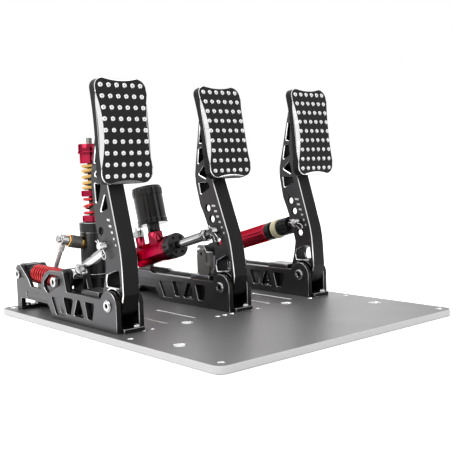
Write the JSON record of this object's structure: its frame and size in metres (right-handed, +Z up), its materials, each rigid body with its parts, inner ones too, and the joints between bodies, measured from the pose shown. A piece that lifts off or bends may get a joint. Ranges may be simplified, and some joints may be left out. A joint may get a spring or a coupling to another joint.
{
  "type": "sim racing pedal set",
  "caption": "Clutch, hydraulic brake and throttle pedals on a grey base plate, with truss arms, bowed studded pads, a spring cylinder and a red damper.",
  "frame": {"origin": "centre of the base plate's underside", "axes": "+X to the driver's right, +Y away from the driver, +Z up"},
  "size_m": [0.367, 0.442, 0.2811],
  "materials": {
    "plate_grey": "satin",
    "frame_grey": "satin",
    "arm_grey": "satin",
    "pad_black": "satin",
    "black_anodised": "satin",
    "red_anodised": "satin",
    "bright_steel": "bright",
    "bronze": "satin",
    "spring_red": "gloss",
    "spring_gold": "gloss",
    "grey_rod": "satin",
    "braided_steel": "braided",
    "black_plastic": "matte",
    "bump_cream": "matte",
    "sensor_grey": "satin"
  },
  "bodies": {
    "base": {"base_plate": "plate_grey", "clutch_frame": "frame_grey", "brake_frame": "frame_grey", "throttle_frame": "frame_grey", "clutch_pivot_bolt": "bright_steel", "brake_pivot_bolt": "bright_steel", "throttle_pivot_bolt": "bright_steel", "clutch_rear_pivots": "bright_steel", "brake_rear_bolt": "bright_steel", "throttle_rear_bolt": "bright_steel", "clutch_rocker_bolt": "bright_steel", "slave_cylinder": "black_anodised", "slave_top_ring": "black_anodised", "slave_rod": "grey_rod", "slave_upper_spring": "spring_gold", "slave_fitting": "grey_rod", "brake_hose": "braided_steel", "master_cylinder": "red_anodised", "master_front_ring": "black_anodised", "reservoir": "black_plastic", "outlet_fitting": "bright_steel", "brake_sensor": "sensor_grey"},
    "clutch_pedal": {"clutch_arm": "arm_grey", "clutch_bush": "bronze", "clutch_pad": "pad_black", "clutch_pad_bracket": "black_anodised", "clutch_pin": "bright_steel", "clutch_clip": "bright_steel"},
    "clutch_link": {"clutch_link_body": "bright_steel", "clutch_link_upper_end": "bright_steel", "clutch_link_lower_end": "bright_steel"},
    "clutch_rocker": {"clutch_rocker": "black_anodised", "clutch_trunnion_bolt": "bright_steel"},
    "clutch_guide": {"clutch_spring_guide": "black_anodised", "clutch_spring": "spring_red"},
    "clutch_block": {"clutch_spring_block": "black_anodised"},
    "brake_pedal": {"brake_arm": "arm_grey", "brake_bush": "bronze", "brake_pad": "pad_black", "brake_pad_bracket": "black_anodised", "brake_pin": "bright_steel", "brake_clip": "bright_steel"},
    "brake_rod": {"brake_push_rod": "bright_steel", "brake_clevis": "black_anodised"},
    "slave_seat": {"slave_seat": "red_anodised", "slave_lower_spring": "spring_red"},
    "slave_collar": {"slave_collar": "red_anodised"},
    "slave_cap": {"slave_preload_cap": "red_anodised"},
    "throttle_pedal": {"throttle_arm": "arm_grey", "throttle_bush": "bronze", "throttle_pad": "pad_black", "throttle_pad_bracket": "black_anodised", "throttle_pin": "bright_steel", "throttle_clip": "bright_steel"},
    "throttle_damper": {"damper_rod": "black_anodised"},
    "throttle_tube": {"damper_tube": "red_anodised", "damper_end_cap": "black_anodised", "damper_bump_ring": "bump_cream", "damper_eye": "black_anodised"},
    "throttle_knob": {"damper_knob": "black_anodised"}
  },
  "joints": [
    {"name": "clutch_pedal_pivot", "type": "hinge", "parent": "base", "child": "clutch_pedal", "pos_m": [-0.152, -0.021, 0.0372], "axis": [-1, 0, 0], "range_deg": [0, 22], "stiffness_Nm_per_rad": 40, "springref_deg": -8.59, "deforming": ["clutch_spring"]},
    {"name": "clutch_link_pivot", "type": "hinge", "parent": "clutch_pedal", "child": "clutch_link", "pos_m": [-0.152, -0.0082, 0.10156], "axis": [-1, 0, 0], "range_deg": [-27, 0]},
    {"name": "clutch_rocker_pivot", "type": "hinge", "parent": "base", "child": "clutch_rocker", "pos_m": [-0.152, 0.085, 0.0195], "axis": [-1, 0, 0], "range_deg": [0, 36], "deforming": ["clutch_spring"]},
    {"name": "clutch_guide_pivot", "type": "hinge", "parent": "clutch_rocker", "child": "clutch_guide", "pos_m": [-0.152, 0.09, 0.0535], "axis": [-1, 0, 0], "range_deg": [-42, 0], "deforming": ["clutch_spring"]},
    {"name": "clutch_block_pivot", "type": "hinge", "parent": "base", "child": "clutch_block", "pos_m": [-0.152, 0.1895, 0.054], "axis": [-1, 0, 0], "range_deg": [-6, 0], "deforming": ["clutch_spring"]},
    {"name": "brake_pedal_pivot", "type": "hinge", "parent": "base", "child": "brake_pedal", "pos_m": [0.008, -0.021, 0.0372], "axis": [-1, 0, 0], "range_deg": [0, 8], "stiffness_Nm_per_rad": 300, "springref_deg": -2.86, "deforming": ["slave_lower_spring", "slave_upper_spring"]},
    {"name": "brake_rod_slide", "type": "slide", "parent": "base", "child": "brake_rod", "axis": [0, 0.9669, -0.2553], "range_m": [0, 0.0105]},
    {"name": "slave_seat_slide", "type": "slide", "parent": "base", "child": "slave_seat", "axis": [0, 0, 1], "range_m": [0, 0.0048], "deforming": ["slave_lower_spring"]},
    {"name": "slave_collar_slide", "type": "slide", "parent": "base", "child": "slave_collar", "axis": [0, 0, 1], "range_m": [0, 0.0024], "deforming": ["slave_lower_spring", "slave_upper_spring"]},
    {"name": "slave_cap_turn", "type": "hinge", "parent": "base", "child": "slave_cap", "pos_m": [-0.104, 0.112, 0.2], "axis": [0, 0, 1], "continuous": true},
    {"name": "throttle_pedal_pivot", "type": "hinge", "parent": "base", "child": "throttle_pedal", "pos_m": [0.146, -0.021, 0.0372], "axis": [-1, 0, 0], "range_deg": [0, 20], "stiffness_Nm_per_rad": 16, "springref_deg": -11.46},
    {"name": "throttle_damper_pivot", "type": "hinge", "parent": "base", "child": "throttle_damper", "pos_m": [0.146, 0.1895, 0.054], "axis": [-1, 0, 0], "range_deg": [-0.2, 0]},
    {"name": "throttle_tube_slide", "type": "slide", "parent": "throttle_damper", "child": "throttle_tube", "axis": [0, 0.9675, -0.2529], "range_m": [0, 0.025]},
    {"name": "throttle_knob_turn", "type": "hinge", "parent": "throttle_tube", "child": "throttle_knob", "pos_m": [0.146, 0.01968, 0.09838], "axis": [0, 0.9675, -0.2529], "continuous": true}
  ],
  "couplings": [
    {"joint": "clutch_link_pivot", "follows": "clutch_pedal_pivot", "ratio": -1.2078},
    {"joint": "clutch_rocker_pivot", "follows": "clutch_pedal_pivot", "ratio": 1.6124},
    {"joint": "clutch_guide_pivot", "follows": "clutch_pedal_pivot", "ratio": -1.8695},
    {"joint": "clutch_block_pivot", "follows": "clutch_pedal_pivot", "ratio": -0.25711},
    {"joint": "brake_rod_slide", "follows": "brake_pedal_pivot", "m_per_rad": 0.070007},
    {"joint": "slave_seat_slide", "follows": "brake_pedal_pivot", "m_per_rad": 0.0343},
    {"joint": "slave_collar_slide", "follows": "brake_pedal_pivot", "m_per_rad": 0.01715},
    {"joint": "throttle_damper_pivot", "follows": "throttle_pedal_pivot", "ratio": -0.005229},
    {"joint": "throttle_tube_slide", "follows": "throttle_pedal_pivot", "m_per_rad": 0.069719}
  ]
}
